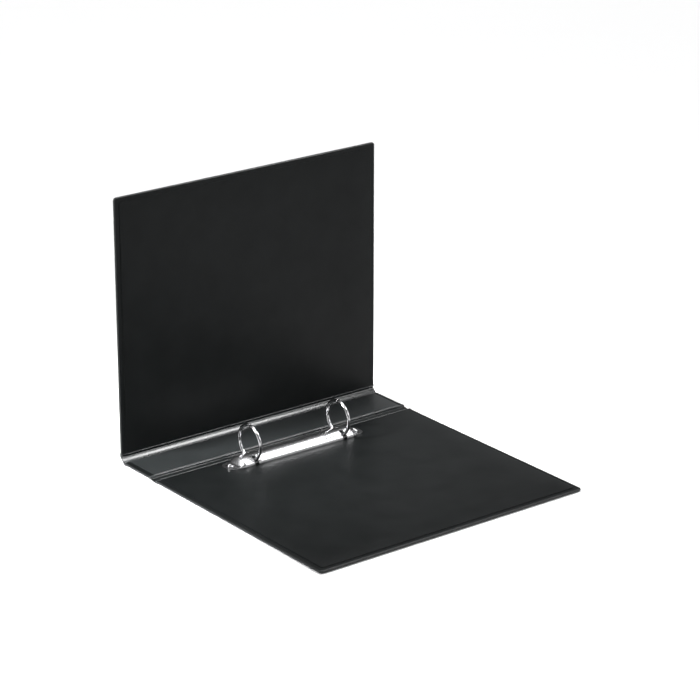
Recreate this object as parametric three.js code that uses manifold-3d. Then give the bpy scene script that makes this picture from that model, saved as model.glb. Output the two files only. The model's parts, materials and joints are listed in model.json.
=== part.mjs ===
// Two-ring binder for A5 sheets, lying open: the back cover and the spine are flat, the front cover
// stands square to them. Millimetres, +Z up, +X from the front cover to the back cover's fore edge,
// +Y from the foot of the binder to its head.
import * as THREE from 'three';
import { mergeVertices } from 'three/addons/utils/BufferGeometryUtils.js';
import Module from 'manifold-3d';

const wasm = await Module();
wasm.setup();

// Covers and spine
const HEIGHT = 232;
const COVER_WIDTH = 196;
const SPINE_WIDTH = 34.5;
const CORNER_RADIUS = 2.5;
const EDGE_ROUND = 0.5;
const FOIL = 0.3;
const RIM = 0.8;
const FIT_GAP = 0.1;
const BOARD_EDGE = 1.3;
const TURN_IN = 5;
const LINING_MARGIN = 4;
const LIP_BOTTOM = FOIL + FIT_GAP + BOARD_EDGE + FIT_GAP;
const LIP_TOP = LIP_BOTTOM + FOIL;
const LINING_BOTTOM = LIP_TOP + FIT_GAP;
const THICKNESS = LINING_BOTTOM + FOIL;

// Creases: the welded strips between the boards
const BACK_STRIP_WIDTH = 6;
const FRONT_STRIP_WIDTH = 7;
const STRIP_THICKNESS = 2 * FOIL;
const CREASE_GAP = 0.2;
const CREASE_LEVEL = STRIP_THICKNESS / 2;
const FRONT_STRIP_ANGLE = Math.PI / 4;

// Label pocket on the outside of the spine
const POCKET_DEPTH = 0.4;
const SPINE_LIFT = POCKET_DEPTH + FIT_GAP;
const POCKET_FILM = 0.15;
const POCKET_WIDTH = 28;
const POCKET_LENGTH = 121;
const POCKET_WELD = 2;
const POCKET_CENTRE_X = 18.2;
const POCKET_TOP = 189;
const LABEL_WIDTH = 21.5;
const LABEL_LENGTH = 116;
const LABEL_THICKNESS = 0.15;
const LABEL_SIDE_GAP = 0.4;
const LABEL_BOTTOM_GAP = 0.5;

// Ring mechanism
const RING_SPACING = 80;
const RING_CENTRE_Y = 113.5;
const MECHANISM_OFFSET = 13.5;
const PLATE_FOOT_Y = 51.5;
const PLATE_HEAD_Y = 173.5;
const PLATE_HALF_WIDTH = 8.65;
const PLATE_SHOULDER_X = 8.35;
const PLATE_SHOULDER_Z = 2.45;
const PLATE_CROWN = 5.65;
const PLATE_SHEET = 0.7;
const PLATE_TONGUE = 7.5;
const PLATE_RAMP = 5;
const PLATE_TIP_ROUND = 4.5;
const NOTCH_WIDTH = 3.6;
const NOTCH_INNER_X = 2.6;
const CARRIER_SHEET = 0.8;
const CARRIER_PIVOT_X = 7.5;
const CARRIER_PIVOT_Z = 1.7;
const CARRIER_INNER_X = 0.2;
const CARRIER_OUTER_EDGE = 0.15;
const CARRIER_CLOSED_TILT = THREE.MathUtils.degToRad(8.2);
const CARRIER_LENGTH = 87;
const WIRE_RADIUS = 1.3;
const RING_RADIUS = 13;
const RING_CENTRE_Z = 14.9;
const RING_LEG_ANGLE = THREE.MathUtils.degToRad(-45);
const RING_FOOT_REACH = 2.9;
const RING_BEND_RADIUS = 2;
const RING_TIP_GAP = 0.15;
const PEG_RADIUS = 0.55;
const PEG_LENGTH = 0.8;
const SOCKET_RADIUS = 0.85;
const SOCKET_DEPTH = 1.3;
const RIVET_INSET = 4.5;
const RIVET_SHANK = 1.6;
const RIVET_HOLE = 1.75;
const RIVET_HEAD_RADIUS = 2.7;
const RIVET_HEAD_HEIGHT = 0.9;
const RIVET_DIMPLE_RADIUS = 1.1;
const RIVET_DIMPLE_DEPTH = 1.4;
const RIVET_BASE_RADIUS = 4;
const RIVET_BASE_HEIGHT = 0.45;
const RIVET_RECESS = 4.2;
const RIVET_LIFT = 0.02;

const BLACK_FOIL = { color: 0x1d2122, roughness: 0.42 };
const BLACK_LINING = { color: 0x1b1e1f, roughness: 0.5 };
const GREY_BOARD = { color: 0x8b8376, roughness: 0.9 };
const CLEAR_FILM = { color: 0xe8ecee, roughness: 0.12, transparent: true, opacity: 0.25 };
const WHITE_CARD = { color: 0xf4f3ef, roughness: 0.7 };
const NICKEL = { color: 0xd4d6d8, roughness: 0.14, metalness: 1 };

function toManifold(geometry) {
  const bare = geometry.clone();
  bare.deleteAttribute('normal');
  bare.deleteAttribute('uv');
  const merged = mergeVertices(bare, 1e-4);
  return new wasm.Manifold(new wasm.Mesh({
    numProp: 3,
    vertProperties: new Float32Array(merged.attributes.position.array),
    triVerts: new Uint32Array(merged.index.array),
  }));
}

function toGeometry(solid) {
  const mesh = solid.getMesh();
  const geometry = new THREE.BufferGeometry();
  geometry.setAttribute('position', new THREE.BufferAttribute(mesh.vertProperties, 3));
  geometry.setIndex(new THREE.BufferAttribute(mesh.triVerts, 1));
  geometry.computeVertexNormals();
  return geometry;
}

function meshOf(name, geometry, look) {
  const mesh = new THREE.Mesh(geometry, new THREE.MeshStandardMaterial(look));
  mesh.name = name;
  return mesh;
}

// A plate with its low corner at (x, y, z); square corners unless a radius is given.
function slab(x, y, z, width, length, height, radius = 0, round = 0) {
  const outline = new THREE.Shape();
  const [x0, y0, x1, y1] = [x + round, y + round, x + width - round, y + length - round];
  const r = Math.max(radius - round, 0);
  outline.moveTo(x0 + r, y0);
  outline.lineTo(x1 - r, y0);
  if (r) outline.absarc(x1 - r, y0 + r, r, -Math.PI / 2, 0);
  outline.lineTo(x1, y1 - r);
  if (r) outline.absarc(x1 - r, y1 - r, r, 0, Math.PI / 2);
  outline.lineTo(x0 + r, y1);
  if (r) outline.absarc(x0 + r, y1 - r, r, Math.PI / 2, Math.PI);
  outline.lineTo(x0, y0 + r);
  if (r) outline.absarc(x0 + r, y0 + r, r, Math.PI, 1.5 * Math.PI);
  const geometry = new THREE.ExtrudeGeometry(outline, {
    depth: height - 2 * round,
    bevelEnabled: round > 0,
    bevelThickness: round,
    bevelSize: round,
    bevelSegments: 3,
    curveSegments: 5,
  });
  geometry.translate(0, 0, z + round);
  return toManifold(geometry);
}

function drum(x, y, z, radius, height) {
  const geometry = new THREE.CylinderGeometry(radius, radius, height, 28);
  geometry.rotateX(Math.PI / 2);
  geometry.translate(x, y, z + height / 2);
  return toManifold(geometry);
}

// Outer foil: the skin under a board, its rim, and the hem turned in over the board's edge.
function outerFoil(width, holes) {
  const inner = [RIM, RIM, width - 2 * RIM, HEIGHT - 2 * RIM];
  const mouth = [TURN_IN, TURN_IN, width - 2 * TURN_IN, HEIGHT - 2 * TURN_IN];
  let foil = slab(0, 0, 0, width, HEIGHT, LIP_TOP, CORNER_RADIUS, EDGE_ROUND)
    .subtract(slab(inner[0], inner[1], FOIL, inner[2], inner[3], LIP_BOTTOM - FOIL, CORNER_RADIUS))
    .subtract(slab(mouth[0], mouth[1], LIP_BOTTOM - FOIL, mouth[2], mouth[3], 1));
  for (const [x, y] of holes) foil = foil.subtract(drum(x, y, -1, RIVET_RECESS, 1 + FOIL + FIT_GAP / 2));
  return toGeometry(foil);
}

// Board: full thickness inside the hem, thinner under it.
function board(width, holes) {
  const edge = RIM + FIT_GAP;
  const step = TURN_IN + FIT_GAP;
  const bottom = FOIL + FIT_GAP;
  let core = slab(edge, edge, bottom, width - 2 * edge, HEIGHT - 2 * edge, BOARD_EDGE, CORNER_RADIUS)
    .add(slab(step, step, bottom + 0.5, width - 2 * step, HEIGHT - 2 * step, LIP_TOP - bottom - 0.5));
  for (const [x, y] of holes) {
    core = core.subtract(drum(x, y, 0, RIVET_HOLE, THICKNESS))
      .subtract(drum(x, y, 0, RIVET_RECESS, RIVET_BASE_HEIGHT + RIVET_LIFT + FIT_GAP));
  }
  return toGeometry(core);
}

// Inner lining: it covers the hem up to a margin and runs to the crease on its crease sides.
function lining(width, marginLow, marginHigh, holes) {
  let sheet = slab(
    marginLow, LINING_MARGIN, LINING_BOTTOM,
    width - marginLow - marginHigh, HEIGHT - 2 * LINING_MARGIN, FOIL, 1,
  );
  for (const [x, y] of holes) sheet = sheet.subtract(drum(x, y, 0, RIVET_HOLE, 2 * THICKNESS));
  return toGeometry(sheet);
}

function panel(name, width, marginLow, marginHigh, holes = []) {
  const group = new THREE.Group();
  group.add(meshOf(`${name}_outer_foil`, outerFoil(width, holes), BLACK_FOIL));
  group.add(meshOf(`${name}_board`, board(width, holes), GREY_BOARD));
  group.add(meshOf(`${name}_inner_lining`, lining(width, marginLow, marginHigh, holes), BLACK_LINING));
  return group;
}

// Hinge strip: outer and inner foil welded flat on each other between two creases.
function hingeStrip(name, stripWidth) {
  const width = stripWidth - 2 * CREASE_GAP;
  const strip = slab(CREASE_GAP, 0, 0, width, HEIGHT, STRIP_THICKNESS, 0, FOIL / 3);
  return meshOf(name, toGeometry(strip), BLACK_FOIL);
}

function labelPocket() {
  const x = POCKET_CENTRE_X - POCKET_WIDTH / 2;
  const y = POCKET_TOP - POCKET_LENGTH;
  const film = slab(x, y, 0, POCKET_WIDTH, POCKET_LENGTH, POCKET_DEPTH, 1.5)
    .subtract(slab(
      x + POCKET_WELD, y + POCKET_WELD, POCKET_FILM,
      POCKET_WIDTH - 2 * POCKET_WELD, POCKET_LENGTH, 1,
    ));
  return meshOf('label_pocket', toGeometry(film), CLEAR_FILM);
}

function labelCard() {
  const x = POCKET_CENTRE_X + POCKET_WIDTH / 2 - POCKET_WELD - LABEL_SIDE_GAP - LABEL_WIDTH;
  const y = POCKET_TOP - POCKET_LENGTH + POCKET_WELD + LABEL_BOTTOM_GAP;
  const z = POCKET_FILM + FIT_GAP / 2;
  const card = slab(x, y, z, LABEL_WIDTH, LABEL_LENGTH, LABEL_THICKNESS);
  return meshOf('label_card', toGeometry(card), WHITE_CARD);
}

// Section of the cover plate's middle surface, from one foot over the crown to the other.
function plateSection() {
  const rise = PLATE_CROWN - PLATE_SHOULDER_Z;
  const radius = (PLATE_SHOULDER_X ** 2 + rise ** 2) / (2 * rise);
  const half = Math.asin(PLATE_SHOULDER_X / radius);
  const points = [[-PLATE_HALF_WIDTH, 0], [-PLATE_HALF_WIDTH + 0.15, PLATE_SHOULDER_Z / 2]];
  const steps = 16;
  for (let i = 0; i <= steps; i += 1) {
    const angle = -half + (2 * half * i) / steps;
    points.push([radius * Math.sin(angle), PLATE_CROWN - radius * (1 - Math.cos(angle))]);
  }
  points.push([PLATE_HALF_WIDTH - 0.15, PLATE_SHOULDER_Z / 2], [PLATE_HALF_WIDTH, 0]);
  return points;
}

// Height and width factors of the plate at a distance from its nearer end.
function plateFactors(distance) {
  const ramp = THREE.MathUtils.smoothstep(distance, PLATE_TONGUE, PLATE_TONGUE + PLATE_RAMP);
  const inset = Math.max(PLATE_TIP_ROUND - distance, 0) / PLATE_TIP_ROUND;
  const tip = 0.35 + 0.65 * Math.sqrt(1 - inset ** 2);
  return { rise: ramp, width: tip * (0.8 + 0.2 * ramp) };
}

function plateStations() {
  const near = [0, 0.25, 0.8, 1.6, 2.8, PLATE_TIP_ROUND, 6, PLATE_TONGUE];
  for (let i = 1; i <= 8; i += 1) near.push(PLATE_TONGUE + (PLATE_RAMP * i) / 8);
  const length = PLATE_HEAD_Y - PLATE_FOOT_Y;
  return [...near, ...near.map((distance) => length - distance).reverse()];
}

// Arched cover plate: a bent sheet with flat rivet tongues at its ends.
function platePoints() {
  const section = plateSection();
  const length = PLATE_HEAD_Y - PLATE_FOOT_Y;
  const skins = { outer: [], inner: [] };
  for (const y of plateStations()) {
    const { rise, width } = plateFactors(Math.min(y, length - y));
    const middle = section.map(([x, z]) => [x * width, z * rise + (1 - rise) * (PLATE_SHEET / 2)]);
    middle.forEach(([x, z], i) => {
      const before = middle[Math.max(i - 1, 0)];
      const after = middle[Math.min(i + 1, middle.length - 1)];
      const run = new THREE.Vector2(after[0] - before[0], after[1] - before[1]).normalize();
      const half = PLATE_SHEET / 2;
      skins.outer.push([x - run.y * half, y, Math.max(z + run.x * half, 0)]);
      skins.inner.push([x + run.y * half, y, Math.max(z - run.x * half, 0)]);
    });
  }
  return { skins, across: section.length, along: plateStations().length };
}

function plateShell() {
  const { skins, across, along } = platePoints();
  const count = across * along;
  const index = [];
  const quad = (a, b, c, d) => index.push(a, b, c, a, c, d);
  for (let j = 0; j + 1 < along; j += 1) {
    for (let i = 0; i + 1 < across; i += 1) {
      const a = j * across + i;
      quad(a, a + 1, a + across + 1, a + across);
      quad(count + a, count + a + across, count + a + across + 1, count + a + 1);
    }
    const low = j * across;
    const high = low + across - 1;
    quad(low, low + across, count + low + across, count + low);
    quad(high, count + high, count + high + across, high + across);
  }
  for (let i = 0; i + 1 < across; i += 1) {
    const last = (along - 1) * across + i;
    quad(i, count + i, count + i + 1, i + 1);
    quad(last, last + 1, count + last + 1, count + last);
  }
  const geometry = new THREE.BufferGeometry();
  const vertices = new Float32Array([...skins.outer, ...skins.inner].flat());
  geometry.setAttribute('position', new THREE.BufferAttribute(vertices, 3));
  geometry.setIndex(index);
  return toManifold(geometry);
}

function ringStations() {
  return [-1, 1].map((side) => RING_CENTRE_Y + (side * RING_SPACING) / 2);
}

function rivetStations() {
  return [PLATE_FOOT_Y + RIVET_INSET, PLATE_HEAD_Y - RIVET_INSET];
}

function ringPlate() {
  let plate = plateShell();
  for (const y of ringStations()) {
    for (const side of [-1, 1]) {
      const x = side > 0 ? NOTCH_INNER_X : -NOTCH_INNER_X - PLATE_HALF_WIDTH;
      const start = y - PLATE_FOOT_Y - NOTCH_WIDTH / 2;
      plate = plate.subtract(slab(x, start, -1, PLATE_HALF_WIDTH, NOTCH_WIDTH, 2 * PLATE_CROWN));
    }
  }
  for (const y of rivetStations()) plate = plate.subtract(drum(0, y - PLATE_FOOT_Y, -1, RIVET_HOLE, 4));
  const mesh = meshOf('ring_plate', toGeometry(plate), NICKEL);
  mesh.position.y = PLATE_FOOT_Y;
  return mesh;
}

// Tubular rivet: flat base sunk in the cover's outside, shank, rolled head with a dimple on the plate.
function rivet(name, y) {
  const base = -THICKNESS - FIT_GAP + RIVET_LIFT;
  const seat = PLATE_SHEET + FIT_GAP;
  const head = seat + RIVET_HEAD_HEIGHT;
  const roll = RIVET_HEAD_HEIGHT / 2;
  const profile = [
    [0, base], [RIVET_BASE_RADIUS, base], [RIVET_BASE_RADIUS, base + RIVET_BASE_HEIGHT],
    [RIVET_SHANK, base + RIVET_BASE_HEIGHT], [RIVET_SHANK, seat], [RIVET_HEAD_RADIUS - 0.2, seat],
    [RIVET_HEAD_RADIUS, seat + roll * 0.5], [RIVET_HEAD_RADIUS - 0.15, seat + roll * 1.3],
    [RIVET_HEAD_RADIUS - 0.7, head], [RIVET_DIMPLE_RADIUS + 0.4, head - 0.05],
    [RIVET_DIMPLE_RADIUS, head - 0.4], [RIVET_DIMPLE_RADIUS - 0.1, head - RIVET_DIMPLE_DEPTH],
    [0, head - RIVET_DIMPLE_DEPTH],
  ].map(([radius, z]) => new THREE.Vector2(radius, z));
  const geometry = new THREE.LatheGeometry(profile, 28);
  geometry.rotateX(Math.PI / 2);
  const mesh = meshOf(name, toGeometry(toManifold(geometry)), NICKEL);
  mesh.position.y = y;
  return mesh;
}

// Carrier blade: it rocks on its outer edge under the plate, inner edge low when the rings are shut.
function carrier(name) {
  const width = CARRIER_PIVOT_X - CARRIER_INNER_X + CARRIER_OUTER_EDGE;
  const blade = slab(
    CARRIER_OUTER_EDGE - width, RING_CENTRE_Y - CARRIER_LENGTH / 2, -CARRIER_SHEET / 2,
    width, CARRIER_LENGTH, CARRIER_SHEET, 1.2,
  );
  const mesh = meshOf(name, toGeometry(blade), NICKEL);
  mesh.position.set(CARRIER_PIVOT_X, 0, CARRIER_PIVOT_Z);
  mesh.rotation.y = -CARRIER_CLOSED_TILT;
  return mesh;
}

// Centre line of the right half ring in its own plane, foot first, tip last.
function halfRingLine() {
  const lift = CARRIER_SHEET / 2 + FIT_GAP + WIRE_RADIUS;
  const inward = new THREE.Vector2(-Math.cos(CARRIER_CLOSED_TILT), -Math.sin(CARRIER_CLOSED_TILT));
  const up = new THREE.Vector2(inward.y, -inward.x);
  const root = new THREE.Vector2(CARRIER_PIVOT_X, CARRIER_PIVOT_Z).addScaledVector(up, lift);
  const foot = root.clone().addScaledVector(inward, RING_FOOT_REACH);
  const swing = new THREE.Vector2(Math.cos(RING_LEG_ANGLE), Math.sin(RING_LEG_ANGLE));
  const knee = swing.clone().multiplyScalar(RING_RADIUS).add(new THREE.Vector2(0, RING_CENTRE_Z));
  const down = new THREE.Vector2(swing.y, -swing.x);
  const outward = inward.clone().negate();
  const gap = knee.clone().sub(root);
  const along = gap.cross(down) / outward.cross(down);
  const corner = root.clone().addScaledVector(outward, along);
  const turn = Math.acos(outward.dot(down.clone().negate()));
  const setback = RING_BEND_RADIUS * Math.tan(turn / 2);
  const bendStart = corner.clone().addScaledVector(inward, setback);
  const bendEnd = corner.clone().addScaledVector(down, -setback);
  return { foot, bendStart, corner, bendEnd, knee };
}

function halfRingPath() {
  const { foot, bendStart, corner, bendEnd, knee } = halfRingLine();
  const at = (point) => new THREE.Vector3(point.x, 0, point.y);
  const path = new THREE.CurvePath();
  path.add(new THREE.LineCurve3(at(foot), at(bendStart)));
  path.add(new THREE.QuadraticBezierCurve3(at(bendStart), at(corner), at(bendEnd)));
  path.add(new THREE.LineCurve3(at(bendEnd), at(knee)));
  const arc = [];
  const steps = 24;
  const tipAngle = Math.PI / 2 - RING_TIP_GAP / RING_RADIUS;
  for (let i = 0; i <= steps; i += 1) {
    const angle = RING_LEG_ANGLE + ((tipAngle - RING_LEG_ANGLE) * i) / steps;
    const x = RING_RADIUS * Math.cos(angle);
    arc.push(new THREE.Vector3(x, 0, RING_CENTRE_Z + RING_RADIUS * Math.sin(angle)));
  }
  path.add(new THREE.CatmullRomCurve3(arc));
  return path;
}

function tipStub(radius, length, start) {
  const geometry = new THREE.CylinderGeometry(radius, radius, length, 14);
  geometry.rotateZ(Math.PI / 2);
  geometry.translate(start + length / 2, 0, RING_CENTRE_Z + RING_RADIUS);
  return toManifold(geometry);
}

function halfRingWire() {
  const outline = new THREE.Shape().absarc(0, 0, WIRE_RADIUS, 0, 2 * Math.PI);
  return toManifold(new THREE.ExtrudeGeometry(outline, {
    extrudePath: halfRingPath(),
    steps: 46,
    curveSegments: 7,
    bevelEnabled: false,
  }));
}

function halfRing(name, y, hasPeg) {
  const wire = halfRingWire();
  const solid = hasPeg
    ? wire.add(tipStub(PEG_RADIUS, PEG_LENGTH + 1, -PEG_LENGTH))
    : wire.subtract(tipStub(SOCKET_RADIUS, SOCKET_DEPTH, 0));
  const mesh = meshOf(name, toGeometry(solid), NICKEL);
  mesh.position.y = y;
  return mesh;
}

function ringSide(side, stations, hasPeg) {
  const group = new THREE.Group();
  group.add(carrier(`${side}_carrier`));
  stations.forEach((y, i) => group.add(halfRing(`${side}_half_ring_${i + 1}`, y, hasPeg)));
  return group;
}

function ringMechanism() {
  const group = new THREE.Group();
  group.add(ringPlate());
  rivetStations().forEach((y, i) => group.add(rivet(`rivet_${i + 1}`, y)));
  group.add(ringSide('right', ringStations(), false));
  const mirrored = ringSide('left', ringStations().reverse(), true);
  mirrored.rotation.z = Math.PI;
  mirrored.position.y = 2 * RING_CENTRE_Y;
  group.add(mirrored);
  group.position.set(MECHANISM_OFFSET, 0, THICKNESS + FIT_GAP);
  return group;
}

function backCover() {
  const group = new THREE.Group();
  const start = CREASE_GAP;
  const holes = rivetStations().map((y) => [MECHANISM_OFFSET - start, y]);
  const cover = panel('back_cover', COVER_WIDTH - start, 0.4, LINING_MARGIN, holes);
  cover.position.x = start;
  group.add(cover, ringMechanism());
  return group;
}

function spine() {
  const group = new THREE.Group();
  const start = CREASE_GAP;
  const faces = panel('spine', SPINE_WIDTH - 2 * start, 0.4, 0.4);
  faces.position.set(start, 0, SPINE_LIFT);
  group.add(faces, labelPocket(), labelCard());
  return group;
}

// Strip from the back cover's crease to the spine's, which lies higher by the pocket under it.
function backHinge() {
  const group = new THREE.Group();
  const strip = hingeStrip('back_hinge_strip', BACK_STRIP_WIDTH);
  strip.position.z = -CREASE_LEVEL;
  group.add(strip);
  group.rotation.y = Math.asin(SPINE_LIFT / BACK_STRIP_WIDTH);
  return group;
}

// Front cover with its strip: both turn about their own creases, the strip half of the way up.
function frontCover() {
  const group = new THREE.Group();
  const strip = hingeStrip('front_hinge_strip', FRONT_STRIP_WIDTH);
  strip.position.set(-FRONT_STRIP_WIDTH, 0, -CREASE_LEVEL);
  const cover = panel('front_cover', COVER_WIDTH - CREASE_GAP, LINING_MARGIN, 0.4);
  cover.position.set(-COVER_WIDTH, 0, -CREASE_LEVEL);
  const leaf = new THREE.Group();
  leaf.add(cover);
  leaf.position.x = -FRONT_STRIP_WIDTH;
  leaf.rotation.y = FRONT_STRIP_ANGLE;
  group.add(strip, leaf);
  group.rotation.y = FRONT_STRIP_ANGLE;
  return group;
}

const stripRun = Math.sqrt(BACK_STRIP_WIDTH ** 2 - SPINE_LIFT ** 2);
const backCrease = SPINE_WIDTH + stripRun;
const frontFace = -FRONT_STRIP_WIDTH * Math.cos(FRONT_STRIP_ANGLE) - CREASE_LEVEL;

const back = backCover();
back.position.x = backCrease;
const backStrip = backHinge();
backStrip.position.set(SPINE_WIDTH, 0, SPINE_LIFT + CREASE_LEVEL);
const front = frontCover();
front.position.set(0, 0, SPINE_LIFT + CREASE_LEVEL);

const group = new THREE.Group();
group.name = 'ring_binder';
group.add(back, backStrip, spine(), front);
group.position.set(-(frontFace + backCrease + COVER_WIDTH) / 2, -HEIGHT / 2, 0);

export default group;
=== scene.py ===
# Ring binder, open, with its back cover flat and its front cover upright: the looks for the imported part.
# All lengths are in metres, in the part's own frame.
import json
import math

import bmesh
import bpy
from mathutils import Matrix, Vector

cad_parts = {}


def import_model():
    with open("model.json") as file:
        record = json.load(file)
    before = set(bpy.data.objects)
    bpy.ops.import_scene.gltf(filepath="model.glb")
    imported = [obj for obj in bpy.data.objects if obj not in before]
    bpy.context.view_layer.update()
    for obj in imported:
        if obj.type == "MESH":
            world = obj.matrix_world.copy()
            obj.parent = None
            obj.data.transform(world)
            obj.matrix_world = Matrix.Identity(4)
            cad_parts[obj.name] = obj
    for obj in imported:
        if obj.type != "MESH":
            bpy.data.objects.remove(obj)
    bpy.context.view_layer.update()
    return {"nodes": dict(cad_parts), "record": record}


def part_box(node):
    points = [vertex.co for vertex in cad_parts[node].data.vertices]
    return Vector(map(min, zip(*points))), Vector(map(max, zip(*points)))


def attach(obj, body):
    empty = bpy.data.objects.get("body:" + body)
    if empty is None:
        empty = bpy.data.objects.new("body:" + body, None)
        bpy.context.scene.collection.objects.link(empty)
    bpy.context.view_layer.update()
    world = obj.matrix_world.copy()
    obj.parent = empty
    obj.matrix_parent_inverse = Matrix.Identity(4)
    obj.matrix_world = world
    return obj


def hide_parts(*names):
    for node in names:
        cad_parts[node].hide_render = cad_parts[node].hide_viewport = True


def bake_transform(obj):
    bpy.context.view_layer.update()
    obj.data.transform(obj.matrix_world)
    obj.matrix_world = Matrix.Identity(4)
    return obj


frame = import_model()
nodes = frame["nodes"]

MM = 0.001
EDGE_ROUND = 0.95 * MM
CORNER_RADIUS = 2.5 * MM
FOIL = 0.3 * MM
LINING_ROUND = 0.12 * MM
CREASE_SHARE = 2.2 * MM  # the band at a crease takes over the panel's last stretch
CREASE_LAP = 0.2 * MM  # how far a panel's pieces reach into the band
STRIP_THICKNESS = 0.6 * MM
HEM_MARGIN = 4 * MM  # from a cover's edge to the lining
HEM_WIDTH = 5 * MM
FOIL_RIM = 0.85 * MM  # from the foil's outside to the cavity that holds the board
LINING_CORNER = 1 * MM
LINING_CELL = 24 * MM
SLIVER = 0.002 * MM  # edges shorter than this are merged away


# ---------------------------------------------------------------- materials

def new_material(name, **settings):
    """A Principled material with uniform values on the shader's own sockets."""
    material = bpy.data.materials.new(name)
    material.use_nodes = True
    shader = material.node_tree.nodes["Principled BSDF"]
    for socket, value in settings.items():
        shader.inputs[socket.replace("_", " ")].default_value = value
    return material, material.node_tree, shader


def add_node(tree, kind, **inputs):
    node = tree.nodes.new(kind)
    for socket, value in inputs.items():
        node.inputs[socket.replace("_", " ")].default_value = value
    return node


def object_coords(tree, stretch=(1, 1, 1)):
    coords = tree.nodes.new("ShaderNodeTexCoord")
    mapping = add_node(tree, "ShaderNodeMapping", Scale=stretch)
    tree.links.new(coords.outputs["Object"], mapping.inputs["Vector"])
    return mapping.outputs["Vector"]


def noise(tree, vector, scale, detail=3.0, roughness=0.5):
    node = add_node(tree, "ShaderNodeTexNoise", Scale=scale, Detail=detail, Roughness=roughness)
    tree.links.new(vector, node.inputs["Vector"])
    return node.outputs["Fac"]


def spread(tree, factor, low, high):
    """Maps a 0..1 factor to low..high."""
    node = add_node(tree, "ShaderNodeMapRange", To_Min=low, To_Max=high)
    tree.links.new(factor, node.inputs["Value"])
    return node.outputs["Result"]


def colour_ramp(tree, factor, dark, light, low=0.3, high=0.7):
    ramp = tree.nodes.new("ShaderNodeValToRGB")
    ramp.color_ramp.elements[0].position = low
    ramp.color_ramp.elements[0].color = (*dark, 1)
    ramp.color_ramp.elements[1].position = high
    ramp.color_ramp.elements[1].color = (*light, 1)
    tree.links.new(factor, ramp.inputs["Fac"])
    return ramp.outputs["Color"]


def stack_bumps(tree, shader, layers):
    """Chains bump nodes; each layer is (height output, strength, distance)."""
    below = None
    for height, strength, distance in layers:
        bump = add_node(tree, "ShaderNodeBump", Strength=strength, Distance=distance)
        tree.links.new(height, bump.inputs["Height"])
        if below is not None:
            tree.links.new(below, bump.inputs["Normal"])
        below = bump.outputs["Normal"]
    tree.links.new(below, shader.inputs["Normal"])


def foil_material(name, dark, light, gloss, level, grain=0.22):
    """Black polypropylene foil: embossed grain, faint waves where it lies over the board."""
    material, tree, shader = new_material(name, Specular_IOR_Level=level)
    fine = object_coords(tree)
    leather = add_node(tree, "ShaderNodeTexVoronoi", Scale=1500)
    leather.feature = "SMOOTH_F1"
    tree.links.new(fine, leather.inputs["Vector"])
    grit = noise(tree, fine, scale=2600, detail=2.0)
    waves = noise(tree, fine, scale=22, detail=2.0, roughness=0.45)
    patches = noise(tree, fine, scale=45, detail=4.0, roughness=0.6)
    tree.links.new(colour_ramp(tree, patches, dark, light), shader.inputs["Base Color"])
    tree.links.new(spread(tree, patches, gloss - 0.04, gloss + 0.06), shader.inputs["Roughness"])
    stack_bumps(tree, shader, [
        (waves, 0.35, 1.2 * MM),
        (leather.outputs["Distance"], grain, 0.05 * MM),
        (grit, 0.12, 0.03 * MM),
    ])
    return material


def painted_light_crease_material():
    """The welded foil of a hinge: the weld bar leaves fine marks across it. Its base colour is painted
    lighter than the inner foil as a painted highlight.
    """
    material, tree, shader = new_material("crease_foil_painted_light", Specular_IOR_Level=0.5)
    plain = object_coords(tree)
    marks = add_node(tree, "ShaderNodeTexWave", Scale=110, Distortion=1.5, Detail=2.0)
    marks.bands_direction = "Y"
    tree.links.new(plain, marks.inputs["Vector"])
    patches = noise(tree, plain, scale=60, detail=4.0, roughness=0.6)
    grit = noise(tree, plain, scale=1800, detail=2.0)
    tree.links.new(
        colour_ramp(tree, patches, (0.013, 0.015, 0.016), (0.020, 0.023, 0.024)),
        shader.inputs["Base Color"],
    )
    tree.links.new(spread(tree, patches, 0.22, 0.34), shader.inputs["Roughness"])
    stack_bumps(tree, shader, [
        (marks.outputs["Fac"], 0.06, 0.05 * MM),
        (grit, 0.12, 0.03 * MM),
    ])
    return material


def nickel_material(name, dark, light, gloss, relief):
    """Bright nickel plating with faint drawing lines and handling haze."""
    material, tree, shader = new_material(name, Metallic=1.0)
    plain = object_coords(tree)
    drawn = noise(tree, object_coords(tree, stretch=(900, 12, 900)), scale=1.0, detail=2.0)
    haze = noise(tree, plain, scale=240, detail=4.0, roughness=0.65)
    tree.links.new(
        colour_ramp(tree, haze, dark, light), shader.inputs["Base Color"],
    )
    tree.links.new(spread(tree, haze, gloss - 0.03, gloss + 0.07), shader.inputs["Roughness"])
    stack_bumps(tree, shader, [(drawn, relief, 0.02 * MM), (haze, relief, 0.02 * MM)])
    return material


def board_material():
    """Grey board, its fibres drawn out along the sheet."""
    material, tree, shader = new_material("grey_board", Roughness=0.9)
    plain = object_coords(tree)
    fibres = noise(tree, object_coords(tree, stretch=(1, 3, 8)), scale=420, detail=5.0, roughness=0.7)
    tree.links.new(
        colour_ramp(tree, fibres, (0.20, 0.18, 0.15), (0.33, 0.30, 0.25)), shader.inputs["Base Color"],
    )
    stack_bumps(tree, shader, [(noise(tree, plain, scale=900), 0.3, 0.05 * MM)])
    return material


def film_material():
    """Clear pocket film: thin, slightly milky, with soft ripples."""
    material, tree, shader = new_material(
        "clear_film", Base_Color=(0.50, 0.52, 0.53, 1), Alpha=0.08, Specular_IOR_Level=0.6,
    )
    plain = object_coords(tree)
    ripples = noise(tree, plain, scale=90, detail=2.0)
    tree.links.new(spread(tree, ripples, 0.06, 0.16), shader.inputs["Roughness"])
    stack_bumps(tree, shader, [(ripples, 0.25, 0.2 * MM)])
    return material


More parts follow.
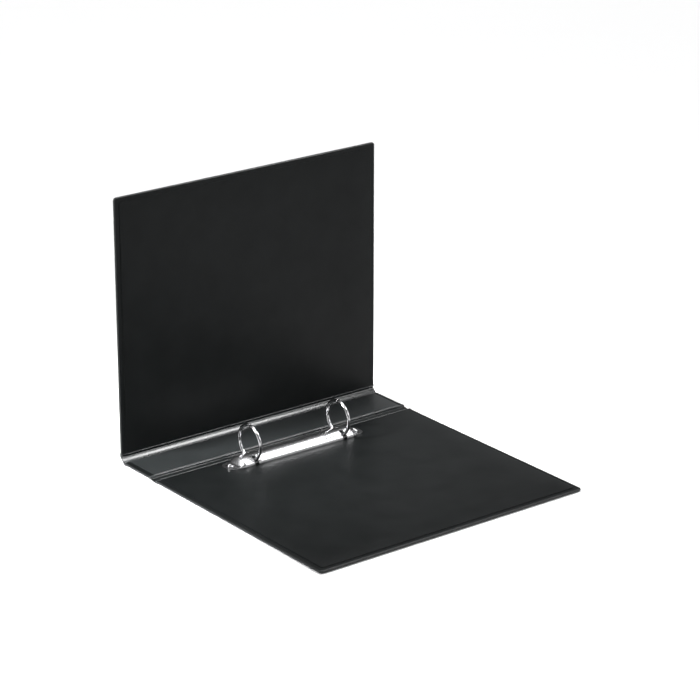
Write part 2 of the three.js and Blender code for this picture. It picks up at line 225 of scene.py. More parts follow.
def card_material(name, dark, light):
    """Matt card stock with a faint fibre."""
    material, tree, shader = new_material(name, Roughness=0.62, Specular_IOR_Level=0.35)
    plain = object_coords(tree)
    fibres = noise(tree, plain, scale=700, detail=4.0, roughness=0.6)
    tree.links.new(colour_ramp(tree, fibres, dark, light), shader.inputs["Base Color"])
    stack_bumps(tree, shader, [(fibres, 0.15, 0.02 * MM)])
    return material


OUTER_FOIL = foil_material(
    "outer_foil", (0.0085, 0.0098, 0.0100), (0.0112, 0.0128, 0.0130), gloss=0.33, level=0.3,
)
INNER_FOIL = foil_material(
    "inner_foil", (0.0052, 0.0060, 0.0061), (0.0072, 0.0081, 0.0083), gloss=0.35, level=0.09, grain=0.16,
)
# The spine's lining: the inner foil painted about three times lighter. This is painted light that makes
# the spine brighter than the covers' lining.
PAINTED_LIGHT_SPINE_FOIL = foil_material(
    "spine_foil_painted_light", (0.0170, 0.0192, 0.0198), (0.0225, 0.0252, 0.0258), gloss=0.35, level=0.3, grain=0.16,
)
# Hinge foil: lighter than the inner foil. It is painted light on the front strip and the crease ridges.
PAINTED_LIGHT_CREASE_FOIL = painted_light_crease_material()
NICKEL = nickel_material(
    "nickel_plate", (0.56, 0.56, 0.57), (0.68, 0.68, 0.69), gloss=0.22, relief=0.02,
)
NICKEL_WIRE = nickel_material(
    "nickel_wire", (0.44, 0.44, 0.45), (0.52, 0.52, 0.53), gloss=0.15, relief=0.004,
)
BOARD = board_material()
FILM = film_material()
CARD_WHITE = card_material("card_white", (0.66, 0.655, 0.64), (0.74, 0.735, 0.72))
CARD_RED = card_material("card_red", (0.44, 0.030, 0.014), (0.52, 0.045, 0.022))
CARD_GREY = card_material("card_grey", (0.30, 0.30, 0.30), (0.42, 0.42, 0.42))


# ---------------------------------------------------------------- mesh helpers

def finish_piece(name, bm, materials, body=None, smooth_angle=35):
    """Turns bm into an object with smooth shading broken at sharp edges."""
    bmesh.ops.recalc_face_normals(bm, faces=bm.faces)
    mesh = bpy.data.meshes.new(name)
    bm.to_mesh(mesh)
    bm.free()
    for face in mesh.polygons:
        face.use_smooth = True
    mesh.set_sharp_from_angle(angle=math.radians(smooth_angle))
    piece = bpy.data.objects.new(name, mesh)
    bpy.context.scene.collection.objects.link(piece)
    for material in materials:
        mesh.materials.append(material)
    if body:
        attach(piece, body)
    return piece


def bridge(bm, loops, closed=True):
    """Faces between successive vertex rows."""
    for first, second in zip(loops, loops[1:]):
        count = len(first)
        for i in range(count if closed else count - 1):
            j = (i + 1) % count
            bm.faces.new((first[i], first[j], second[j], second[i]))


def rounded_loop(width, length, inset, corner, steps=7):
    """Outline of a rounded rectangle, counter-clockwise, inset from (0, 0)-(width, length)."""
    radius = max(corner - inset, 0.05 * MM)
    points = []
    for cx, cy, turn in (
        (width - inset - radius, inset + radius, -90),
        (width - inset - radius, length - inset - radius, 0),
        (inset + radius, length - inset - radius, 90),
        (inset + radius, inset + radius, 180),
    ):
        for i in range(steps + 1):
            angle = math.radians(turn + 90 * i / steps)
            points.append((cx + radius * math.cos(angle), cy + radius * math.sin(angle)))
    return points


def rounded_slab(width, length, low, high, corner, edge):
    """Closed slab with rounded corners in plan and rounded edges."""
    bm = bmesh.new()
    profile = []
    steps = 5
    for i in range(steps + 1):
        angle = math.radians(90 * i / steps)
        profile.append((edge * (1 - math.sin(angle)), low + edge * (1 - math.cos(angle))))
    for i in range(steps + 1):
        angle = math.radians(90 * i / steps)
        profile.append((edge * (1 - math.cos(angle)), high - edge * (1 - math.sin(angle))))
    loops = []
    for inset, height in profile:
        outline = rounded_loop(width, length, inset, corner)
        loops.append([bm.verts.new((x, y, height)) for x, y in outline])
    bridge(bm, loops)
    bm.faces.new(list(reversed(loops[0])))
    bm.faces.new(loops[-1])
    return bm


def cut_flat(bm, x, keep_above):
    """Cuts bm at local x and closes the cut, keeping the side above or below it."""
    result = bmesh.ops.bisect_plane(
        bm, geom=bm.verts[:] + bm.edges[:] + bm.faces[:],
        plane_co=(x, 0, 0), plane_no=(1, 0, 0),
        clear_inner=keep_above, clear_outer=not keep_above,
    )
    edges = [item for item in result["geom_cut"] if isinstance(item, bmesh.types.BMEdge)]
    bmesh.ops.contextual_create(bm, geom=edges)


def grid_cuts(bm, width, length, across, along):
    """Cuts the large faces into a grid so that shading and export stay even."""
    for count, size, normal in ((across, width, (1, 0, 0)), (along, length, (0, 1, 0))):
        for i in range(1, count):
            point = Vector(normal) * (size * i / count)
            bmesh.ops.bisect_plane(
                bm, geom=bm.verts[:] + bm.edges[:] + bm.faces[:], plane_co=point, plane_no=normal,
            )


def apply_modifiers(piece):
    """Bakes the modifier stack into the mesh."""
    bpy.context.view_layer.update()
    evaluated = piece.evaluated_get(bpy.context.evaluated_depsgraph_get())
    mesh = bpy.data.meshes.new_from_object(evaluated)
    piece.modifiers.clear()
    piece.data = mesh


def carve(piece, *cutters):
    """Subtracts the cutters, which are then removed."""
    for cutter in cutters:
        modifier = piece.modifiers.new("carve", "BOOLEAN")
        modifier.operation = "DIFFERENCE"
        modifier.solver = "EXACT"
        modifier.object = cutter
    apply_modifiers(piece)
    for cutter in cutters:
        bpy.data.objects.remove(cutter, do_unlink=True)


def weld_slivers(piece):
    """Merges the needle faces that cutting and bevelling leave."""
    bm = bmesh.new()
    bm.from_mesh(piece.data)
    bmesh.ops.dissolve_degenerate(bm, dist=SLIVER, edges=bm.edges)
    bm.to_mesh(piece.data)
    bm.free()


def block(low, high):
    """A plain block between two corners, used as a cutter."""
    bm = bmesh.new()
    bmesh.ops.create_cube(bm, size=1)
    size = Vector(high) - Vector(low)
    centre = (Vector(high) + Vector(low)) / 2
    placing = Matrix.Translation(centre) @ Matrix.Diagonal((*size, 1))
    bmesh.ops.transform(bm, verts=bm.verts, matrix=placing)
    return finish_piece("cutter", bm, [])


# ---------------------------------------------------------------- panels

# A panel's own axes: u across from its first edge, v from foot to head, w from its outside inwards.
PANELS = {
    "back_cover": {"upright": False, "creases": ("low",)},
    "spine": {"upright": False, "creases": ("low", "high")},
    "front_cover": {"upright": True, "creases": ("high",)},
}


def panel_frame(name):
    """(matrix from panel axes to the row frame, width, length) of a panel's foil."""
    low, high = (Vector(corner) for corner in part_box(f"{name}_outer_foil"))
    if PANELS[name]["upright"]:
        matrix = Matrix(((0, 0, 1, low.x), (0, 1, 0, low.y), (-1, 0, 0, high.z), (0, 0, 0, 1)))
        return matrix, high.z - low.z, high.y - low.y
    return Matrix.Translation(low), high.x - low.x, high.y - low.y


def depth_in_panel(name, node):
    """Span of a CAD node along the panel's w axis."""
    low, high = (Vector(corner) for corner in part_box(node))
    base = Vector(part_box(f"{name}_outer_foil")[0])
    axis = 0 if PANELS[name]["upright"] else 2
    return low[axis] - base[axis], high[axis] - base[axis]


def trim_creases(bm, name, width):
    """Cuts the panel back where its crease bands take over."""
    share = CREASE_SHARE - CREASE_LAP
    if "low" in PANELS[name]["creases"]:
        cut_flat(bm, share, True)
    if "high" in PANELS[name]["creases"]:
        cut_flat(bm, width - share, False)


def panel_foil(name):
    """Outer foil: skin, rounded rim and turned-in hem round the board."""
    matrix, width, length = panel_frame(name)
    bottom, top = depth_in_panel(name, f"{name}_outer_foil")
    bm = rounded_slab(width, length, bottom, top, CORNER_RADIUS, EDGE_ROUND)
    trim_creases(bm, name, width)
    piece = finish_piece(f"{name}_foil_skin", bm, [OUTER_FOIL])
    cavity = block((FOIL_RIM, FOIL_RIM, FOIL), (width - FOIL_RIM, length - FOIL_RIM, top - FOIL))
    mouth = block((HEM_WIDTH, HEM_WIDTH, FOIL), (width - HEM_WIDTH, length - HEM_WIDTH, top + FOIL))
    carve(piece, cavity, mouth)
    piece.data.materials.append(INNER_FOIL)
    for face in piece.data.polygons:
        faces_inwards = face.normal.z > 0.97
        if faces_inwards and face.center.z > top / 2:
            face.material_index = 1
    piece.data.transform(matrix)
    piece.data.set_sharp_from_angle(angle=math.radians(35))
    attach(piece, name)
    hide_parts(f"{name}_outer_foil")


def panel_lining(name):
    """Inner lining: a sheet over the hem, its cut edge slightly rounded."""
    matrix, width, length = panel_frame(name)
    bottom, top = depth_in_panel(name, f"{name}_inner_lining")
    low_margin = -HEM_MARGIN if "low" in PANELS[name]["creases"] else HEM_MARGIN
    high_margin = -HEM_MARGIN if "high" in PANELS[name]["creases"] else HEM_MARGIN
    sheet_width = width - low_margin - high_margin
    sheet_length = length - 2 * HEM_MARGIN
    bm = rounded_slab(sheet_width, sheet_length, bottom, top, LINING_CORNER, LINING_ROUND)
    bmesh.ops.translate(bm, verts=bm.verts, vec=(low_margin, HEM_MARGIN, 0))
    trim_creases(bm, name, width)
    grid_cuts(bm, width, length, across=max(int(width / LINING_CELL), 2), along=10)
    bmesh.ops.transform(bm, verts=bm.verts, matrix=matrix)
    # The spine's lining takes the painted-light copy of the inner foil.
    foil = PAINTED_LIGHT_SPINE_FOIL if name == "spine" else INNER_FOIL
    piece = finish_piece(f"{name}_lining_sheet", bm, [foil], name)
    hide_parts(f"{name}_inner_lining")


# ---------------------------------------------------------------- creases

# Where the weld bar pressed the foil aside, in mm: distance from the crease, height.
STRIP_BEAD = ((0.95, 0.05), (1.1, 0.13), (1.3, 0.18), (1.55, 0.16), (1.8, 0.08), (2.05, 0.0))
LINING_RIDGE = (
    (-1.75, 0.0), (-1.66, 0.10), (-1.55, 0.18), (-1.45, 0.20), (-1.35, 0.18), (-1.24, 0.10),
    (-1.15, 0.0),
)
# The strip's inside before its bead, in mm from the crease, and the groove on its outside.
STRIP_FLAT = (0.3, 0.45, 0.6, 0.8)
OUTSIDE_GROOVE = (
    (1.8, 0), (1.2, 0), (0.8, 0), (0.5, 0.02), (0.25, 0.1), (0, 0.14), (-0.25, 0.1), (-0.5, 0.02),
    (-0.8, 0),
)
PANEL_WALL = -0.2 * MM  # the panel's edge face, beside the crease
PANEL_WALL_ROUND = 0.75 * MM
VALLEY_ROUND = 0.35 * MM
BEND_LEAD = 0.1 * MM  # the foil starts to turn this far before the crease
BEND_LENGTH = 0.7 * MM
BAND_CHAMFER = 0.3 * MM
BAND_CELLS = 12
HEM_STEP_START = 0.1 * MM
HEM_STEP_END = 0.05 * MM


def crease_profile(top, half):
    """Section of a crease band: panel edge, valley, half of the strip. s along, w inwards."""
    strip = STRIP_THICKNESS
    radius = min(PANEL_WALL_ROUND, top / 3)
    points = [(-CREASE_SHARE, top)] + [(s * MM, top + lift * MM) for s, lift in LINING_RIDGE]
    for i in range(7):
        angle = math.radians(90 - 15 * i)
        s = PANEL_WALL - radius + radius * math.cos(angle)
        points.append((s, top - radius + radius * math.sin(angle)))
    middle_s, middle_w = PANEL_WALL + VALLEY_ROUND, strip + VALLEY_ROUND
    for i in range(6):
        angle = math.radians(180 + 18 * i)
        s = middle_s + VALLEY_ROUND * math.cos(angle)
        points.append((s, middle_w + VALLEY_ROUND * math.sin(angle)))
    points += [(s * MM, strip) for s in STRIP_FLAT]
    points += [(s * MM, strip + bead * MM) for s, bead in STRIP_BEAD]
    points += [(half, strip), (half, 0)]
    points += [(s * MM, w * MM) for s, w in OUTSIDE_GROOVE]
    points += [(-CREASE_SHARE, 0)]
    return points


def band_stations(hem, lined):
    """(y, height of the panel's inside) along a crease: low on the hem at both ends, lined between."""
    low, high = (corner[1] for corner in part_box("back_cover_outer_foil"))
    first = low + HEM_MARGIN
    run = high - low - 2 * HEM_MARGIN
    ends = [
        (low, hem - BAND_CHAMFER), (low + BAND_CHAMFER, hem),
        (first - HEM_STEP_START, hem), (first + HEM_STEP_END, lined),
    ]
    middle = [(first + run * i / BAND_CELLS, lined) for i in range(1, BAND_CELLS)]
    return ends + middle + [(low + high - y, top) for y, top in reversed(ends)]


def crease_band(name, axis, along, inward, fold, half, foil, heights, replaced=None):
    """Foil over one crease: it follows the panel on one side and the hinge strip on the other."""
    hem, lined = heights
    axis, along, inward = Vector(axis), Vector(along), Vector(inward)
    pivot = STRIP_THICKNESS / 2
    bm = bmesh.new()
    rows = []
    for y, top in band_stations(hem, lined):
        row = []
        for s, w in crease_profile(top, half):
            part = min(max((s + BEND_LEAD) / BEND_LENGTH, 0), 1)
            turn = fold * part * part * (3 - 2 * part)
            run = s * math.cos(turn) - (w - pivot) * math.sin(turn)
            rise = s * math.sin(turn) + (w - pivot) * math.cos(turn)
            spot = axis + along * run + inward * rise
            row.append(bm.verts.new((spot.x, y, spot.z)))
        rows.append(row)
    bridge(bm, rows)
    shape = crease_profile(lined, half)
    ridge_start = LINING_RIDGE[0][0] * MM * 0.99
    panel_side = {i for i, (s, w) in enumerate(shape) if s < ridge_start and w > 0}
    under_side = {i for i, (s, w) in enumerate(shape) if w < STRIP_THICKNESS / 2}
    strip_side = {i for i, (s, w) in enumerate(shape) if s > 0.2 * MM and w >= STRIP_THICKNESS}
    bm.verts.index_update()
    # Strip faces take the given foil, panel faces the inner foil and the underside the outer foil. The
    # rest keep the lighter hinge foil, which is painted light.
    for face in bm.faces:
        columns = {vert.index % len(shape) for vert in face.verts}
        if columns <= strip_side:
            face.material_index = 3
        elif columns <= panel_side:
            face.material_index = 1
        elif columns <= under_side:
            face.material_index = 2
    bm.faces.new(rows[0])
    bm.faces.new(rows[-1])
    piece = finish_piece(name, bm, [PAINTED_LIGHT_CREASE_FOIL, INNER_FOIL, OUTER_FOIL, foil], smooth_angle=50)
    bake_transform(piece)
    if replaced:
        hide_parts(replaced)


def joint_point(name):
    """A joint's axis in the middle plane y = 0."""
    joint = next(entry for entry in frame["record"]["behaviour"]["joints"] if entry["name"] == name)
    return Vector((joint["pos_m"][0], 0, joint["pos_m"][2]))


def crease_bands():
    """The two bands of each hinge, which meet in the middle of its strip."""
    _, hem = depth_in_panel("spine", "spine_outer_foil")
    _, lined = depth_in_panel("spine", "spine_inner_lining")
    heights = (hem, lined)
    back, spine_back = joint_point("back_cover_crease"), joint_point("spine_back_crease")
    spine_front, front = joint_point("spine_front_crease"), joint_point("front_cover_crease")
    tilt = math.atan2(spine_back.z - back.z, back.x - spine_back.x)
    fold = math.atan2(front.z - spine_front.z, spine_front.x - front.x)
    up, left, right, down = (0, 0, 1), (-1, 0, 0), (1, 0, 0), (0, 0, -1)
    back_half, front_half = (back - spine_back).length / 2, (front - spine_front).length / 2
    crease_band("crease_back_cover", back, left, up, tilt,
                back_half, INNER_FOIL, heights, "back_hinge_strip")
    crease_band("crease_spine_back", spine_back, right, up, -tilt,
                back_half, INNER_FOIL, heights)
    # The front strip takes the lighter hinge foil as a painted highlight; the back strip keeps the inner
    # foil.
    crease_band("crease_spine_front", spine_front, left, up, fold,
                front_half, PAINTED_LIGHT_CREASE_FOIL, heights, "front_hinge_strip")
    crease_band("crease_front_cover", front, down, right,
                math.pi / 2 - fold, front_half, PAINTED_LIGHT_CREASE_FOIL, heights)


# ---------------------------------------------------------------- label

LABEL_MARGIN = 1.2 * MM
# Rows of the label card from its head: share of its length, and which card stock shows.
LABEL_ROWS = (
    (0.159, "red"), (0.194, "white"), (0.006, "grey"), (0.178, "white"), (0.006, "grey"),
    (0.180, "white"), (0.049, "red"), (0.016, "white"), (0.006, "grey"), (0.206, "white"),
)


def label_card():
    """Printed card: coloured header and bar, thin rules, empty writing fields."""
    low, high = (Vector(corner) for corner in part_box("label_card"))
    stock = {"white": 0, "red": 1, "grey": 2}
    columns = [low.x, low.x + LABEL_MARGIN, high.x - LABEL_MARGIN, high.x]
    total = sum(share for share, _ in LABEL_ROWS)
    rows, colours, y = [high.y], [], high.y
    for share, colour in LABEL_ROWS:
        y -= (high.y - low.y) * share / total
        rows.append(y)
        colours.append(colour)
    bm = bmesh.new()
    faces = {z: [[bm.verts.new((x, y, z)) for x in columns] for y in rows] for z in (low.z, high.z)}
    for z, grid in faces.items():
        for j in range(len(rows) - 1):
            for i in range(len(columns) - 1):
                face = bm.faces.new((grid[j][i], grid[j][i + 1], grid[j + 1][i + 1], grid[j + 1][i]))
                inside = i == 1 or colours[j] == "red"
                if z == low.z and inside:
                    face.material_index = stock[colours[j]]
    rims = [[grid[0] for grid in faces.values()], [grid[-1] for grid in faces.values()]]
    rims += [[[row[0] for row in grid] for grid in faces.values()]]
    rims += [[[row[-1] for row in grid] for grid in faces.values()]]
    for first, second in rims:
        bridge(bm, [first, second], closed=False)
    piece = finish_piece("label_card_print", bm, [CARD_WHITE, CARD_RED, CARD_GREY], "spine")
    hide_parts("label_card")


# ---------------------------------------------------------------- ring mechanism

WIRE = 1.3 * MM
RING_RADIUS = 13 * MM
RING_CENTRE = 14.9 * MM
LEG_ANGLE = math.radians(-45)
FOOT_REACH = 2.9 * MM
BEND_RADIUS = 2 * MM
CLOSED_TILT = math.radians(8.2)
PIVOT = Vector((7.5 * MM, 1.7 * MM))
BLADE = 0.8 * MM
BLADE_GAP = 0.1 * MM
TIP_GAP = 0.15 * MM
TIP_SLOPE = 0.013  # the wire is still rising a little where its halves meet


def half_ring_line():
    """Centre line of a right half ring in its plane, from the foot on the blade to the tip."""
    lift = BLADE / 2 + BLADE_GAP + WIRE
    inward = Vector((-math.cos(CLOSED_TILT), -math.sin(CLOSED_TILT)))
    root = PIVOT + Vector((inward.y, -inward.x)) * lift
    swing = Vector((math.cos(LEG_ANGLE), math.sin(LEG_ANGLE)))
    knee = swing * RING_RADIUS + Vector((0, RING_CENTRE))
    down = Vector((swing.y, -swing.x))
    gap = knee - root
    outward = -inward
    cross = outward.x * down.y - outward.y * down.x
    along = (gap.x * down.y - gap.y * down.x) / cross
    corner = root + outward * along
    turn = math.acos(outward.dot(-down))
    setback = BEND_RADIUS * math.tan(turn / 2)
    first, last = corner + inward * setback, corner - down * setback
    points = [root + inward * FOOT_REACH, root + inward * (FOOT_REACH / 2)]
    for i in range(9):
        t = i / 8
        points.append(first * (1 - t) ** 2 + corner * (2 * t * (1 - t)) + last * t ** 2)
    points += [last.lerp(knee, 0.5)]
    stop = math.pi / 2 - TIP_GAP / RING_RADIUS
    for i in range(49):
        angle = LEG_ANGLE + (stop - LEG_ANGLE) * i / 48
        points.append(Vector((RING_RADIUS * math.cos(angle), RING_CENTRE + RING_RADIUS * math.sin(angle))))
    return points


def sweep_wire(bm, line, mirror, origin, foot_ends, tip_ends, sides=28):
    """Round wire along a planar line; each end is a list of (radius, reach past the end)."""
    def ring(point, tangent, radius, reach):
        """One round of vertices across the line."""
        normal = Vector((-tangent.y, tangent.x))
        centre = point + tangent * reach
        verts = []
        for k in range(sides):
            angle = 2 * math.pi * k / sides
            spot = centre + normal * (radius * math.cos(angle))
            verts.append(bm.verts.new((
                origin.x + mirror * spot.x, origin.y + radius * math.sin(angle), origin.z + spot.y,
            )))
        return verts

    tangents = []
    for i, point in enumerate(line):
        before, after = line[max(i - 1, 0)], line[min(i + 1, len(line) - 1)]
        tangents.append((after - before).normalized())
    tangents[-1] = Vector((-1, TIP_SLOPE)).normalized()
    rows = [ring(line[0], tangents[0], radius, -reach) for radius, reach in reversed(foot_ends)]
    rows += [ring(p, t, WIRE, 0) for p, t in zip(line[1:-1], tangents[1:-1])]
    rows += [ring(line[-1], tangents[-1], radius, reach) for radius, reach in tip_ends]
    bridge(bm, rows)
    bm.faces.new(rows[0])
    bm.faces.new(rows[-1])


# (radius, reach past the end of the line) for the rounds that close each end of a wire.
FOOT_END = [(WIRE, -0.2 * MM), (WIRE - 0.08 * MM, -0.06 * MM), (WIRE - 0.2 * MM, 0)]
PEG_TIP = [
    (WIRE, -0.2 * MM), (WIRE - 0.05 * MM, -0.06 * MM), (WIRE - 0.15 * MM, 0), (0.6 * MM, 0),
    (0.55 * MM, 0.08 * MM), (0.55 * MM, 0.6 * MM), (0.4 * MM, 0.8 * MM), (0.1 * MM, 0.85 * MM),
]
SOCKET_TIP = [
    (WIRE, -0.2 * MM), (WIRE - 0.05 * MM, -0.06 * MM), (WIRE - 0.15 * MM, 0), (0.9 * MM, 0),
    (0.82 * MM, -0.08 * MM), (0.82 * MM, -1.1 * MM), (0.1 * MM, -1.2 * MM),
]


def mechanism_origin():
    """Middle of the ring plate's foot line, on the lining."""
    low, high = (Vector(corner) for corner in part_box("ring_plate"))
    return Vector(((low.x + high.x) / 2, 0, low.z))


def half_rings():
    """The four half rings; the left tips carry a peg, the right ones its socket."""
    origin = mechanism_origin()
    for side, mirror, tip in (("right", 1, SOCKET_TIP), ("left", -1, PEG_TIP)):
        for number in (1, 2):
            node = f"{side}_half_ring_{number}"
            low, high = (Vector(corner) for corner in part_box(node))
            spot = Vector((origin.x, (low.y + high.y) / 2, origin.z))
            bm = bmesh.new()
            sweep_wire(bm, half_ring_line(), mirror, spot, FOOT_END, tip)
            piece = finish_piece(f"{node}_wire", bm, [NICKEL_WIRE], f"{side}_ring_side", 40)
            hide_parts(node)


PLATE_SHEET = 0.7 * MM
PLATE_BEVEL = 0.12 * MM
NOTCH_HALF = 1.8 * MM
NOTCH_START = 2.6 * MM  # from the plate's middle line
NOTCH_END = 12 * MM
NOTCH_BELOW = 1 * MM
NOTCH_ABOVE = 9 * MM
# Distances from the plate's end, in mm: along its flat tongue, then over the ramp to the full arch.
TONGUE_STATIONS = (0, 0.12, 0.3, 0.6, 1.0, 1.5, 2.1, 2.8, 3.6, 4.5, 6.0, 7.5)
RAMP_LENGTH = 5


def plate_section():
    """Middle line of the arched plate's section, foot to foot."""
    half, shoulder, rise_at, crown = 8.65 * MM, 8.35 * MM, 2.45 * MM, 5.65 * MM
    rise = crown - rise_at
    radius = (shoulder ** 2 + rise ** 2) / (2 * rise)
    reach = math.asin(shoulder / radius)
    points = [(-half, 0), (-half + 0.08 * MM, rise_at * 0.3), (-half + 0.17 * MM, rise_at * 0.65)]
    for i in range(41):
        angle = -reach + 2 * reach * i / 40
        points.append((radius * math.sin(angle), crown - radius * (1 - math.cos(angle))))
    points += [(-x, z) for x, z in reversed(points[:3])]
    return smooth_section(points)


def smooth_section(points):
    """Eases the shoulders of a section by averaging neighbours a few times."""
    for _ in range(3):
        eased = [points[0]]
        for before, here, after in zip(points, points[1:], points[2:]):
            eased.append(tuple((a + 2 * b + c) / 4 for a, b, c in zip(before, here, after)))
        points = eased + [points[-1]]
    return points


def plate_factors(distance):
    """Shares of the full arch and of the full width, at a distance from the plate's end."""
    tongue, ramp, tip_round = TONGUE_STATIONS[-1] * MM, RAMP_LENGTH * MM, 4.5 * MM
    t = min(max((distance - tongue) / ramp, 0), 1)
    rise = t * t * (3 - 2 * t)
    inset = max(tip_round - distance, 0) / tip_round
    tip = 0.35 + 0.65 * math.sqrt(1 - inset ** 2)
    return rise, tip * (0.8 + 0.2 * rise)


def plate_stations(length):
    """Where the plate's sections stand, close together over its ends."""
    ramp = [TONGUE_STATIONS[-1] + RAMP_LENGTH * i / 14 for i in range(1, 15)]
    near = [value * MM for value in (*TONGUE_STATIONS, *ramp)]
    middle = [near[-1] + (length - 2 * near[-1]) * i / 10 for i in range(1, 10)]
    return near + middle + [length - value for value in reversed(near)]


def ring_plate():
    """Arched cover plate: bent sheet with riveted tongues and a notch for each wire."""
    low, high = (Vector(corner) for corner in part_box("ring_plate"))
    length = high.y - low.y
    origin = mechanism_origin()
    section = plate_section()
    bm = bmesh.new()
    rows = []
    for y in plate_stations(length):
        rise, width = plate_factors(min(y, length - y))
        middle = [Vector((x * width, z * rise + (1 - rise) * PLATE_SHEET / 2)) for x, z in section]
        outer, inner = [], []
        for i, point in enumerate(middle):
            run = (middle[min(i + 1, len(middle) - 1)] - middle[max(i - 1, 0)]).normalized()
            side = Vector((-run.y, run.x)) * (PLATE_SHEET / 2)
            outer.append(point + side)
            inner.append(point - side)
        rows.append([
            bm.verts.new((origin.x + p.x, low.y + y, origin.z + max(p.y, 0)))
            for p in (*outer, *reversed(inner))
        ])
    bridge(bm, rows)
    count = len(section)
    for row, turn in ((rows[0], 1), (rows[-1], -1)):
        for i in range(count - 1):
            face = (row[i], row[i + 1], row[2 * count - 2 - i], row[2 * count - 1 - i])
            bm.faces.new(face[::turn])
    piece = finish_piece("ring_plate_sheet", bm, [NICKEL], smooth_angle=40)
    cutters = []
    for number in (1, 2):
        wire_low, wire_high = (Vector(corner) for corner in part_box(f"right_half_ring_{number}"))
        y = (wire_low.y + wire_high.y) / 2
        for side in (-1, 1):
            near, far = sorted((side * NOTCH_START, side * NOTCH_END))
            cutters.append(block(
                (origin.x + near, y - NOTCH_HALF, origin.z - NOTCH_BELOW),
                (origin.x + far, y + NOTCH_HALF, origin.z + NOTCH_ABOVE),
            ))
    carve(piece, *cutters)
    bevel = piece.modifiers.new("edges", "BEVEL")
    bevel.width = PLATE_BEVEL
    bevel.segments = 2
    bevel.limit_method = "ANGLE"
    bevel.angle_limit = math.radians(50)
    apply_modifiers(piece)
    weld_slivers(piece)
    piece.data.set_sharp_from_angle(angle=math.radians(40))
    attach(piece, "back_cover")
    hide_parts("ring_plate")


def lathe(profile, centre, sides=40):
    """Closed solid of revolution about +Z; the profile runs from axis to axis."""
    bm = bmesh.new()
    rows = []
    for radius, z in profile[1:-1]:
        rows.append([
            bm.verts.new((
                centre.x + radius * math.cos(2 * math.pi * k / sides),
                centre.y + radius * math.sin(2 * math.pi * k / sides),
                centre.z + z,
            ))
            for k in range(sides)
        ])
    bridge(bm, rows)
    for row, (_, z) in ((rows[0], profile[0]), (rows[-1], profile[-1])):
        pole = bm.verts.new((centre.x, centre.y, centre.z + z))
        for k in range(sides):
            bm.faces.new((row[k], row[(k + 1) % sides], pole))
    return bm


RIVET_SHANK = 1.6 * MM
RIVET_BASE = 0.45 * MM
ROLL_MIDDLE = 1.9 * MM
ROLL_WIDTH = 0.75 * MM
ROLL_HEIGHT = 0.45 * MM


def rivet_profile(height):
    """Half section of a rivet from axis to axis: flat base, shank, rolled head, blind eye."""
    head = height - 2 * ROLL_HEIGHT
    profile = [(0, 0), (3.7 * MM, 0), (3.95 * MM, 0.12 * MM), (4 * MM, RIVET_BASE)]
    profile += [(RIVET_SHANK, RIVET_BASE), (RIVET_SHANK, head), (2.4 * MM, head)]
    for i in range(9):
        angle = math.radians(-60 + 24 * i)
        z = head + ROLL_HEIGHT * (1 + math.sin(angle))
        profile.append((ROLL_MIDDLE + ROLL_WIDTH * math.cos(angle), z))
    profile += [(1.1 * MM, height - 0.5 * MM), (1.0 * MM, height - 1.4 * MM), (0, height - 1.45 * MM)]
    return profile


def rivets():
    """Tubular rivets: rolled head on the plate, flat base in the outside of the cover."""
    for number in (1, 2):
        low, high = (Vector(corner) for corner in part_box(f"rivet_{number}"))
        centre = Vector(((low.x + high.x) / 2, (low.y + high.y) / 2, low.z))
        bm = lathe(rivet_profile(high.z - low.z), centre)
        piece = finish_piece(f"rivet_{number}_rolled", bm, [NICKEL_WIRE], "back_cover", 45)
        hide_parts(f"rivet_{number}")


def carry_over():
    """Procedural materials for the CAD solids that stay."""
    looks = {
        "left_carrier": NICKEL, "right_carrier": NICKEL, "label_pocket": FILM,
        "back_cover_board": BOARD, "spine_board": BOARD, "front_cover_board": BOARD,
    }
    for name, material in looks.items():
        mesh = nodes[name].data
        mesh.materials.clear()
        mesh.materials.append(material)


# ---------------------------------------------------------------- stage

FLOOR_REACH = 6.0
FLOOR_LEVEL = -0.3 * MM
# Grey of the surroundings against the height of the view direction: a dark band low in a pale room.
SKY_BANDS = ((0.13, 0.90), (0.24, 0.08), (0.56, 0.07), (0.74, 0.50))


def stage():
    """Pale floor, just under the binder."""
    mesh = bpy.data.meshes.new("floor")
    reach = FLOOR_REACH
    corners = [(-reach, -reach), (reach, -reach), (reach, reach), (-reach, reach)]
    mesh.from_pydata([(x, y, FLOOR_LEVEL) for x, y in corners], [], [(0, 1, 2, 3)])
    floor = bpy.data.objects.new("floor", mesh)
    bpy.context.scene.collection.objects.link(floor)
    material, tree, shader = new_material("floor", Roughness=0.85, Specular_IOR_Level=0.2)
    tone = noise(tree, object_coords(tree), scale=0.7, detail=2.0)
    tree.links.new(
        colour_ramp(tree, tone, (0.88, 0.88, 0.88), (0.90, 0.90, 0.90)), shader.inputs["Base Color"],
    )
    mesh.materials.append(material)


def world():
    """Soft surroundings in horizontal bands."""
    sky = bpy.data.worlds.new("studio")
    bpy.context.scene.world = sky
    sky.use_nodes = True
    tree = sky.node_tree
    background = tree.nodes["Background"]
    background.inputs["Strength"].default_value = 0.95
    coords = tree.nodes.new("ShaderNodeTexCoord")
    split = tree.nodes.new("ShaderNodeSeparateXYZ")
    tree.links.new(coords.outputs["Generated"], split.inputs["Vector"])
    ramp = tree.nodes.new("ShaderNodeValToRGB")
    tree.links.new(split.outputs["Z"], ramp.inputs["Fac"])
    bands = ramp.color_ramp.elements
    bands[0].position, bands[0].color = 0.0, (1.0, 1.0, 1.0, 1)
    bands[1].position, bands[1].color = 1.0, (0.7, 0.7, 0.7, 1)
    for position, grey in SKY_BANDS:
        band = bands.new(position)
        band.color = (grey, grey, grey * 1.01, 1)
    tree.links.new(ramp.outputs["Color"], background.inputs["Color"])


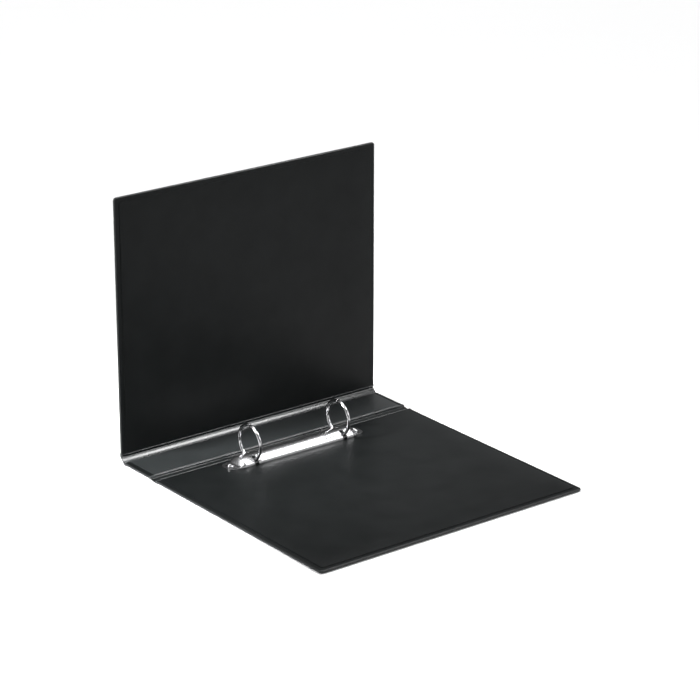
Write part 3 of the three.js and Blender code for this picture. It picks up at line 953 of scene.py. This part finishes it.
def area_light(name, place, target, size, spread, power):
    """Soft box that the camera doesn't see."""
    light = bpy.data.lights.new(name, "AREA")
    light.shape = "RECTANGLE"
    light.size, light.size_y = size
    light.spread = math.radians(spread)
    light.energy = power
    lamp = bpy.data.objects.new(name, light)
    bpy.context.scene.collection.objects.link(lamp)
    lamp.location = place
    lamp.visible_camera = False
    aim = Vector(target) - Vector(place)
    lamp.rotation_euler = aim.to_track_quat("-Z", "Y").to_euler()


def spot_light(name, place, target, cone, softness, power):
    light = bpy.data.lights.new(name, "SPOT")
    light.spot_size = math.radians(cone)
    light.spot_blend = 1.0
    light.shadow_soft_size = softness
    light.energy = power
    lamp = bpy.data.objects.new(name, light)
    bpy.context.scene.collection.objects.link(lamp)
    lamp.location = place
    aim = Vector(target) - Vector(place)
    lamp.rotation_euler = aim.to_track_quat("-Z", "Y").to_euler()


def sun_light(name, direction, angle, strength):
    light = bpy.data.lights.new(name, "SUN")
    light.angle = math.radians(angle)
    light.energy = strength
    lamp = bpy.data.objects.new(name, light)
    bpy.context.scene.collection.objects.link(lamp)
    lamp.rotation_euler = Vector(direction).to_track_quat("Z", "Y").to_euler()


def camera():
    """Long lens, looking down on the open binder from its fore-edge side."""
    azimuth, elevation, distance = math.radians(52.44), math.radians(20.33), 2.029
    target = Vector((0.0018, 0, 0.0977))
    back = Vector((
        math.sin(azimuth) * math.cos(elevation), -math.cos(azimuth) * math.cos(elevation),
        math.sin(elevation),
    ))
    data = bpy.data.cameras.new("camera")
    data.lens = 148
    data.clip_start, data.clip_end = 0.05, 50
    eye = bpy.data.objects.new("camera", data)
    bpy.context.scene.collection.objects.link(eye)
    eye.location = target + back * distance
    eye.rotation_euler = (-back).to_track_quat("-Z", "Y").to_euler()
    bpy.context.scene.camera = eye


for panel in PANELS:
    panel_foil(panel)
    panel_lining(panel)
crease_bands()
label_card()
half_rings()
ring_plate()
rivets()
carry_over()
stage()
world()
area_light(
    "back_box", place=(0.142, 0.313, 0.56), target=(-0.118, -0.116, 0.003),
    size=(0.22, 0.22), spread=28, power=0.17,
)
area_light(
    "side_box", place=(1.0, 0.8, 0.70), target=(-0.06, 0.0, 0.0),
    size=(0.9, 0.4), spread=100, power=2.0,
)
spot_light(
    "edge_spot", place=(-0.30, -0.90, 0.55), target=(-0.120, -0.080, 0.0),
    cone=16, softness=0.2, power=450,
)
sun_light("overhead", direction=(-0.3, 0.3, 1.0), angle=40, strength=2.5)
camera()
scene = bpy.context.scene
scene.view_settings.view_transform = "Standard"
